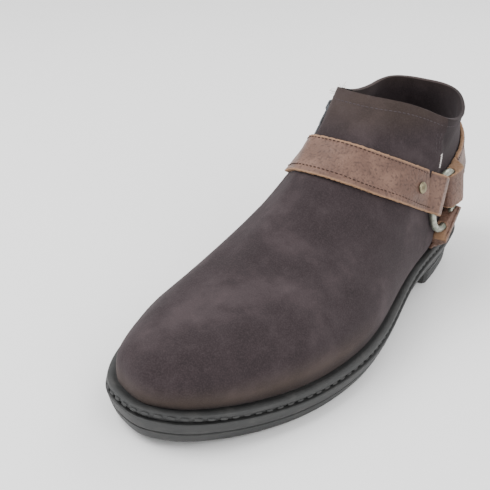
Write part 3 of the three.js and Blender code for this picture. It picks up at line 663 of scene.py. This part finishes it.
@dataclass(frozen=True)
class Trough:
    """One soft crease: a valley between two ridges on the outer face, in millimetres."""

    start: tuple[float, float, float]
    end: tuple[float, float, float]
    width: float
    depth: float


@dataclass
class Upper:
    """The wall of the upper with its creases, seams and lining."""

    frame: dict
    palette: Palette
    sole_length_mm: float = 308.0
    heel_seat_mm: float = 39.7
    collar_stitch_drop_mm: float = 5.0
    stitch_pitch_mm: float = 2.6
    troughs: tuple[Trough, ...] = (
        Trough((28, -112, 74), (44, -84, 52), 8.0, 0.9),
        Trough((14, -128, 78), (40, -116, 52), 9.0, 0.7),
        Trough((-4, -150, 66), (34, -150, 44), 12.0, 0.6),
        Trough((30, -66, 96), (42, -52, 84), 6.0, 0.5),
        Trough((-12, -112, 93), (-30, -92, 70), 7.0, 0.8),
        Trough((30, 16, 60), (38, -6, 46), 8.0, 0.7),
        Trough((-26, 18, 62), (-34, -8, 48), 8.0, 0.7),
        Trough((46, -190, 36), (30, -176, 47), 14.0, 0.5),
    )
    body: bpy.types.Object = None
    rays: BVHTree = None

    def build(self) -> None:
        """Make the wall, then its stitching."""
        self.body = node_copy(self.frame, "upper", "upper_shell")
        crease_sharp(self.body, 50.0, 0.75)
        subdivide(self.body, 2)
        push_out(self.body, self.hide_shift)
        self.sort_faces()
        self.paint_wear_and_shade()
        set_material(self.body, self.palette.nubuck, self.palette.lining, self.palette.cut_edge)
        shade_smooth(self.body, 55.0)
        finish_piece(self.body, ROOT, "nubuck", "upper")
        self.rays = tree_of(self.body)
        self.collar_stitches()
        self.side_seam()

    def hide_shift(self, place: Vector) -> float:
        """How far the creases and a faint unevenness move the hide at a place, in millimetres."""
        shift = 0.35 * noise.noise(place / 23.0) + 0.12 * noise.noise(place / 7.0)
        for trough in self.troughs:
            start, end = Vector(trough.start), Vector(trough.end)
            run = end - start
            share = min(1.0, max(0.0, (place - start).dot(run) / run.length_squared))
            distance = (place - start - run * share).length
            if distance < trough.width * 3:
                across = distance / trough.width
                fade = math.sin(math.pi * min(0.95, max(0.05, share)))
                valley = 1.3 * math.exp(-(across * 2) ** 2)
                ridge = 0.5 * math.exp(-across ** 2)
                shift -= trough.depth * fade * (valley - ridge)
        return shift * smooth_step(place.z, 19.0, 30.0)

    @staticmethod
    def inner_axis(place: Vector) -> Vector:
        """Point of the foot's middle line nearest to a place, in millimetres."""
        along = min(-4.0, max(-232.0, place.y))
        height = place.z if along > -70 else min(place.z, 30.0 + 0.35 * max(0.0, along + 170))
        return Vector((0, along, height))

    def sort_faces(self) -> None:
        """Give inner faces the lining and the rim the cut edge."""
        rim = {}
        for polygon in self.body.data.polygons:
            centre = polygon.center / MM
            inward = (self.inner_axis(centre) - centre).normalized().dot(polygon.normal)
            key = round(math.atan2(centre.x, centre.y + 22) * 24 / math.pi)
            rim[key] = max(rim.get(key, 0.0), centre.z) if centre.z > 80 else rim.get(key, 0.0)
            kind = Surface.LINING if inward > 0.15 else Surface.OUTER
            polygon.material_index = kind.value
        for polygon in self.body.data.polygons:
            centre = polygon.center / MM
            key = round(math.atan2(centre.x, centre.y + 22) * 24 / math.pi)
            if centre.z > 95 and polygon.normal.z > 0.75 and centre.z > rim[key] - 4:
                polygon.material_index = Surface.CUT_EDGE.value

    def paint_wear_and_shade(self) -> None:
        """Store where the hide is rubbed brown, and the painted shade: darker at the foot of the upper by the
        welt and on the rear lateral quarter behind the side seam.
        """
        write_attribute(self.body, "rub", lambda p: max(
            0.75 * (1 - smooth_step(p.z, 22.0, 36.0)) * smooth_step(-p.y, 120.0, 190.0),
            0.45 * smooth_step(p.z, 100.0, 116.0),
        ))
        write_attribute(self.body, "shade", lambda p: (
            0.8 * smooth_step(p.z, 70, 90) * smooth_step(p.y, -46.5, -43.0) * smooth_step(p.x, 10.0, 25.0)
            + 0.6 * (1 - smooth_step(p.z, 20.0, 26.0))
        ))

    def outer_hit(self, angle: float, height_mm: float) -> tuple[Vector, Vector] | None:
        """Outermost point of the ankle at an angle and a height.

        Args:
            angle: Angle round the ankle's middle, in radians from the heel.
            height_mm: Height over the floor.

        Returns:
            Place and normal, or None over the rim.
        """
        direction = Vector((math.sin(angle), math.cos(angle), 0))
        centre = Vector((0, -22, height_mm)) * MM
        hit, normal, _, _ = self.rays.ray_cast(centre + direction * 0.4, -direction)
        if hit is None or (hit - centre).dot(direction) < 0:
            return None
        return hit, normal

    def rim_height(self, angle: float) -> float:
        """Height of the collar's rim at an angle, by halving."""
        low, high = 80.0, 135.0
        for _ in range(14):
            middle = (low + high) / 2
            if self.outer_hit(angle, middle) is None:
                high = middle
            else:
                low = middle
        return low

    def collar_stitches(self) -> None:
        """Stitch row that holds the collar's edge band."""
        steps = 220
        points, normals = [], []
        for i in range(steps):
            angle = 2 * math.pi * i / steps
            found = self.outer_hit(angle, self.rim_height(angle) - self.collar_stitch_drop_mm)
            if found is None:
                continue
            points.append(found[0])
            normals.append(found[1])
        even = resampled(points, self.stitch_pitch_mm * MM, True)
        outward = [self.normal_near(p) for p in even]
        row = gaps(even, outward, True)
        run = stitch_run("collar_stitches", row, Thread(2.0, 0.32, 0.05), self.palette.grey_thread)
        finish_piece(run, ROOT, "nubuck")

    def normal_near(self, place: Vector) -> Vector:
        """Outward direction of the wall near a place."""
        found = self.rays.find_nearest(place)
        return found[1]

    def lateral_hit(self, y_mm: float, z_mm: float) -> tuple[Vector, Vector]:
        """Point of the lateral face, seen from the outer side."""
        start = Vector((120, y_mm, z_mm)) * MM
        hit, normal, _, _ = self.rays.ray_cast(start, Vector((-1, 0, 0)))
        return hit, normal

    def side_seam(self) -> None:
        """Two stitch rows beside the lateral seam, and the bartack at its foot."""
        rows = (("seam_row_front", -4.0), ("seam_row_rear", -6.6))
        seam_y = self.heel_seat_mm - 0.272 * self.sole_length_mm
        for name, shift in rows:
            places = [self.lateral_hit(seam_y + shift - 0.6, z) for z in (80, 86, 92, 98, 103)]
            even = resampled([hit for hit, _ in places], self.stitch_pitch_mm * MM)
            outward = [self.normal_near(p) for p in even]
            run = stitch_run(name, gaps(even, outward), Thread(1.9, 0.28, 0.1), self.palette.grey_thread)
            finish_piece(run, ROOT, "nubuck")
        tack = [self.lateral_hit(seam_y - 2.0, 81 + 0.7 * i) for i in range(13)]
        bars = [hit + Vector((0, (-1.1 if i % 2 else 1.1) * MM, 0)) for i, (hit, _) in enumerate(tack)]
        outward = [self.normal_near(p) for p in bars]
        run = stitch_run("bartack", gaps(bars, outward), Thread(2.4, 0.33, -0.1), self.palette.pale_thread)
        finish_piece(run, ROOT, "nubuck")


@dataclass(frozen=True)
class StrapLine:
    """Middle line of a strap from the ring, as in the model: ahead and above are in millimetres."""

    rows: tuple[tuple[float, float], ...]

    def height(self, ahead: float) -> float:
        """Height over the ring's centre at a distance ahead of it."""
        rows = self.rows
        for (a0, z0), (a1, z1) in zip(rows, rows[1:]):
            if ahead <= a1 or (a1, z1) == rows[-1]:
                return z0 + (z1 - z0) * (ahead - a0) / (a1 - a0)
        return rows[-1][1]

    def slope(self, ahead: float) -> float:
        """Rise per millimetre at a distance ahead."""
        return (self.height(ahead + 1) - self.height(ahead - 1)) / 2


@dataclass
class Harness:
    """Three straps, the ring that joins them and two rivets."""

    frame: dict
    palette: Palette
    upper: Upper
    sole_length_mm: float = 308.0
    collar_mm: float = 112.0
    heel_seat_mm: float = 39.7
    ring_distance_mm: float = 79.5
    ring_height_mm: float = 59.5
    strap_width_mm: float = 23.0
    strap_top_mm: float = 2.8
    stitch_inset_mm: float = 2.6
    stitch_start_mm: float = 22.0
    stitch_pitch_mm: float = 2.5
    voxel_mm: float = 0.62
    ring_radius_mm: float = 17.0
    wire_radius_mm: float = 2.0
    instep_rows: tuple = ((-0.1, -0.022), (0.0, 0.018), (0.114, 0.165), (0.195, 0.274), (0.31, 0.448))
    heel_rows: tuple = (
        (-0.34, 0.28), (-0.258, 0.219), (-0.161, 0.147), (-0.063, 0.067), (0.0, 0.027), (0.117, -0.049),
    )

    def build(self) -> None:
        """Make straps, ring and rivets."""
        instep = self.line(self.instep_rows)
        heel = self.line(self.heel_rows)
        self.strap("instep_strap_leather", "instep_strap", instep)
        self.strap("heel_strap_leather", "heel_strap", heel)
        self.strap("sole_strap_leather", "sole_strap", None)
        self.edge_stitches("instep", instep, -1)
        self.edge_stitches("heel", heel, 1)
        self.ring()
        for node in ("rivet_instep", "rivet_heel"):
            self.rivet(node)

    def line(self, rows: Iterable[tuple[float, float]]) -> StrapLine:
        """Middle line in millimetres from its shares."""
        return StrapLine(tuple((a * self.sole_length_mm, z * self.collar_mm) for a, z in rows))

    def off_line(self, place: Vector, line: StrapLine) -> float:
        """Signed distance of a place from a strap's middle line, seen from the side."""
        ahead = self.heel_seat_mm - place.y - self.ring_distance_mm
        slope = line.slope(ahead)
        rise = place.z - self.ring_height_mm - line.height(ahead)
        return rise / math.sqrt(1 + slope * slope)

    def strap(self, name: str, node: str, line: StrapLine | None) -> None:
        """Leather of one strap: the CAD strap remeshed, softened and roughened along its edges."""
        piece = node_copy(self.frame, node, name)
        remesh = piece.modifiers.new("remesh", "REMESH")
        remesh.mode = "VOXEL"
        remesh.voxel_size = self.voxel_mm * MM
        soften = piece.modifiers.new("soften", "SMOOTH")
        soften.factor = 0.5
        soften.iterations = 6
        apply_modifiers(piece)
        half = self.strap_width_mm / 2
        push_out(piece, lambda place: self.leather_shift(place, line))
        if line is not None:
            write_attribute(
                piece, "edge", lambda p: smooth_step(abs(self.off_line(p, line)), half - 1.5, half - 0.4),
            )
        else:
            write_attribute(piece, "edge", self.sole_strap_edge)
        make_active(piece)
        bpy.ops.object.shade_smooth()
        set_material(piece, self.palette.strap)
        finish_piece(piece, ROOT, "strap_leather", node)

    def leather_shift(self, place: Vector, line: StrapLine | None) -> float:
        """How far a strap's face and its raw edges are uneven at a place, in millimetres."""
        rough = 0.10 * noise.noise(place / 3.0)
        if line is None:
            return rough
        half = self.strap_width_mm / 2
        near_edge = smooth_step(abs(self.off_line(place, line)), half - 2.2, half - 0.2)
        return rough + near_edge * (0.34 * noise.noise(place / 1.7) + 0.2 * noise.noise(place / 0.8))

    def sole_strap_edge(self, place: Vector) -> float:
        """How close a place of the sole strap is to its front edge."""
        ahead = self.heel_seat_mm - place.y - self.ring_distance_mm
        below = self.ring_height_mm - place.z
        curve = 0.6 * max(0.0, below - 16.0) ** 1.15
        return 1 - smooth_step(abs(ahead - curve), 0.5, 3.5)

    def on_strap(self, angle: float, line: StrapLine, offset_mm: float) -> tuple[Vector, Vector] | None:
        """Point of a strap's face at an angle round the ankle, at an offset from its middle line."""
        height = 75.0
        for _ in range(40):
            found = self.upper.outer_hit(angle, height)
            if found is None:
                height -= 4.0
                continue
            place = found[0] / MM
            miss = self.off_line(place, line) - offset_mm
            height -= 0.55 * miss
            if abs(miss) < 0.05:
                break
        if found is None:
            return None
        outward = found[1]
        return found[0] + outward * self.strap_top_mm * MM, outward

    def edge_stitches(self, label: str, line: StrapLine, side: int) -> None:
        """Stitch rows along both edges of a strap."""
        half = self.strap_width_mm / 2 - self.stitch_inset_mm
        steps = 240
        for row, offset in (("upper", half), ("lower", -half)):
            points = []
            for i in range(steps):
                found = self.on_strap(self.sweep(i / (steps - 1), side), line, offset)
                if found is None:
                    continue
                ahead = self.heel_seat_mm - found[0].y / MM - self.ring_distance_mm
                if found[0].x > 0 and ahead * -side < self.stitch_start_mm:
                    continue
                if found[0].x < 0 and not self.before_zip(ahead, side, found[0].z / MM):
                    continue
                points.append(found[0])
            even = resampled(points, self.stitch_pitch_mm * MM)
            outward = [self.upper.normal_near(p) for p in even]
            name = f"{label}_{row}_stitches"
            run = stitch_run(name, gaps(even, outward), Thread(1.75, 0.3, -0.12), self.palette.dark_thread)
            finish_piece(run, ROOT, "strap_leather")

    @staticmethod
    def sweep(share: float, side: int) -> float:
        """Angle round the ankle for a share of a strap's way from the ring."""
        if side < 0:
            return math.radians(88 + 200 * share)
        return math.radians(92 - 205 * share)

    def before_zip(self, ahead: float, side: int, z_mm: float) -> bool:
        """Whether a point on the medial side is still on the strap's side of the zip."""
        distance = ahead + self.ring_distance_mm
        zip_distance = self.sole_length_mm * (0.335 - 0.055 * smooth_step(z_mm, 55.0, 118.0)) - 1.0
        return distance > zip_distance + 6 if side < 0 else distance < zip_distance - 6

    def ring(self) -> None:
        """Ring of round wire, turned to its joint's axis."""
        joint = next(j for j in self.frame["joints"] if j["name"] == "ring_turn")
        centre = Vector(joint["pos_m"])
        axis = Vector(joint["axis"]).normalized()
        clear_selection()
        bpy.ops.mesh.primitive_torus_add(
            major_radius=self.ring_radius_mm * MM, minor_radius=self.wire_radius_mm * MM,
            major_segments=128, minor_segments=24,
        )
        ring = bpy.context.object
        ring.name = "harness_ring_wire"
        push_out(ring, lambda place: 0.05 * noise.noise(place / 2.5))
        turn = Vector((0, 0, 1)).rotation_difference(axis).to_matrix().to_4x4()
        ring.data.transform(Matrix.Translation(centre) @ turn)
        bpy.ops.object.shade_smooth()
        set_material(ring, self.palette.ring)
        finish_piece(ring, RING_BODY, "aged_metal", "harness_ring")

    def rivet(self, node: str) -> None:
        """Dome-headed rivet, softened from its CAD form."""
        piece = node_copy(self.frame, node, f"{node}_dome")
        crease_sharp(piece, 60.0, 0.6)
        subdivide(piece, 3)
        make_active(piece)
        bpy.ops.object.shade_smooth()
        set_material(piece, self.palette.rivet)
        finish_piece(piece, ROOT, "aged_metal", node)


@dataclass
class Sole:
    """Outsole, heel, welt and insole, with the moulded stitches of the welt."""

    frame: dict
    palette: Palette
    heel_seat_mm: float = 39.7
    heel_lift_mm: float = 10.2
    toe_spring_mm: float = 6.2
    arch_mm: tuple[float, float] = (86.0, 166.0)
    spring_start_mm: float = 216.0
    sole_length_mm: float = 308.0
    sole_thickness_mm: float = 12.0
    mould_pitch_mm: float = 6.0

    def build(self) -> None:
        """Make the pieces and the moulded stitches."""
        pieces = (
            ("outsole", "outsole_rubber", "sole_rubber", self.palette.rubber, 24.0, 0.8),
            ("heel", "heel_rubber", "sole_rubber", self.palette.rubber, 24.0, 0.8),
            ("welt", "welt_rubber", "sole_rubber", self.palette.rubber, 30.0, 0.55),
            ("insole", "insole_cover", "lining", self.palette.lining, 40.0, 0.8),
        )
        for node, name, slot, material, angle, crease in pieces:
            piece = node_copy(self.frame, node, name)
            crease_sharp(piece, angle, crease)
            subdivide(piece, 2)
            set_material(piece, material)
            shade_smooth(piece, 38.0)
            finish_piece(piece, ROOT, slot, node)
        self.moulded_stitches()

    def lift(self, distance: float) -> float:
        """Height of the sole's underside over the floor."""
        heel = self.heel_lift_mm * (1 - smooth_step(distance, *self.arch_mm))
        spring = max(0.0, (distance - self.spring_start_mm) / (self.sole_length_mm - self.spring_start_mm))
        return heel + self.toe_spring_mm * spring ** 2

    def moulded_stitches(self) -> None:
        """Bars moulded in the groove between the welt's bead and the outsole."""
        rays = tree_of(bpy.data.objects["welt_rubber"])
        points = []
        steps = 720
        for i in range(steps):
            angle = 2 * math.pi * i / steps
            start = Vector((160 * math.sin(angle), -114 + 260 * math.cos(angle), 0))
            axis = Vector((0, min(0.0, max(-225.0, start.y)), 0))
            distance = self.heel_seat_mm - start.lerp(axis, 0.62).y
            start.z = axis.z = self.lift(distance) + self.sole_thickness_mm + 0.95
            hit, _, _, _ = rays.ray_cast(start * MM, (axis - start).normalized())
            if hit is not None:
                points.append(hit)
        even = resampled(points, self.mould_pitch_mm * MM, True)
        normals = []
        for i, point in enumerate(even):
            along = (even[(i + 1) % len(even)] - point).normalized()
            normals.append(along.cross(Vector((0, 0, 1))).normalized())
        centre = Vector((0, -0.1, 0.02))
        normals = [n if n.dot(p - centre) > 0 else -n for n, p in zip(normals, even)]
        row = gaps(even, normals, True)
        run = stitch_run("welt_stitches", row, Thread(4.0, 0.75, -0.35), self.palette.rubber)
        finish_piece(run, ROOT, "sole_rubber")


@dataclass
class Zip:
    """Zip on the inner side: tape, teeth, slider and pull tab."""

    frame: dict
    palette: Palette
    tooth_pitch_mm: float = 1.5
    seed: int = 7

    def build(self) -> None:
        """Make teeth, slider, pull and frayed ends."""
        set_material(self.frame["nodes"]["zip_tape"], self.palette.zip_tape)
        self.teeth()
        for node, name, body in (
            ("zip_slider", "zip_slider_body", ROOT), ("zip_pull", "zip_pull_tab", PULL_BODY),
        ):
            piece = node_copy(self.frame, node, name)
            bevel = piece.modifiers.new("bevel", "BEVEL")
            bevel.width = 0.28 * MM
            bevel.segments = 3
            bevel.limit_method = "ANGLE"
            apply_modifiers(piece)
            set_material(piece, self.palette.zip_metal)
            shade_smooth(piece, 35.0)
            finish_piece(piece, body, "zip_metal", node)
        self.frayed_ends()

    def coil_line(self) -> list[Vector]:
        """Middle line of the coil, from bottom to top."""
        mesh = self.frame["nodes"]["zip_coil"].data
        low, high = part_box("zip_coil")
        rows: list[Vector] = []
        steps = 30
        for i in range(steps):
            z = low.z + (high.z - low.z) * (i + 0.5) / steps
            near = [v.co for v in mesh.vertices if abs(v.co.z - z) < 4.5 * MM]
            centre = sum(near, Vector()) / len(near)
            rows.append(centre)
        return rows

    def teeth(self) -> None:
        """Coil teeth, one bar for each, across the zip."""
        even = resampled(self.coil_line(), self.tooth_pitch_mm * MM)
        rays = tree_of(self.frame["nodes"]["zip_coil"])
        outward = Vector((-1, 0, 0))
        teeth = []
        for before, after in zip(even, even[1:]):
            run = (after - before).normalized()
            across = Vector((1, 0, 0)).cross(run).normalized()
            middle = (before + after) / 2
            hit, _, _, _ = rays.ray_cast(middle + outward * 0.02, -outward)
            base = hit if hit is not None else middle
            teeth.append((base - across * 1.9 * MM, base + across * 1.9 * MM, outward))
        joined = stitch_run("zip_teeth", teeth, Thread(4.2, 0.52, 0.1), self.palette.zip_metal)
        finish_piece(joined, ROOT, "zip_coil", "zip_coil")

    def frayed_ends(self) -> None:
        """Loose pale threads where the tape ends at the collar."""
        draw = random.Random(self.seed)
        low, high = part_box("zip_tape")
        top = Vector(((low.x + high.x) / 2 + 0.004, -0.052, high.z - 0.001))
        segments: list[Segment] = []
        for _ in range(14):
            start = top + Vector((draw.uniform(-2, 2), draw.uniform(-6, 6), draw.uniform(-2, 0))) * MM
            points = [start]
            heading = Vector((draw.uniform(-0.6, 0.2), draw.uniform(-1, 1), draw.uniform(0.2, 0.9)))
            heading.normalize()
            for _ in range(5):
                heading = (heading + Vector((draw.uniform(-0.6, 0.6) for _ in range(3)))).normalized()
                points.append(points[-1] + heading * draw.uniform(0.6, 1.2) * MM)
            segments += gaps(points, [Vector((0.3, 0.1, 1))] * len(points))
        joined = stitch_run("frayed_threads", segments, Thread(1.5, 0.11), self.palette.pale_thread)
        finish_piece(joined, ROOT, "zip_fabric")


def main() -> None:
    logging.basicConfig(level=logging.INFO, format="%(name)s: %(message)s")
    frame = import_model()
    clear_selection()
    Stage().build()
    palette = Palette()
    Sole(frame, palette).build()
    upper = Upper(frame, palette)
    upper.build()
    Harness(frame, palette, upper).build()
    Zip(frame, palette).build()
    clear_selection()


if __name__ == "__main__":
    main()
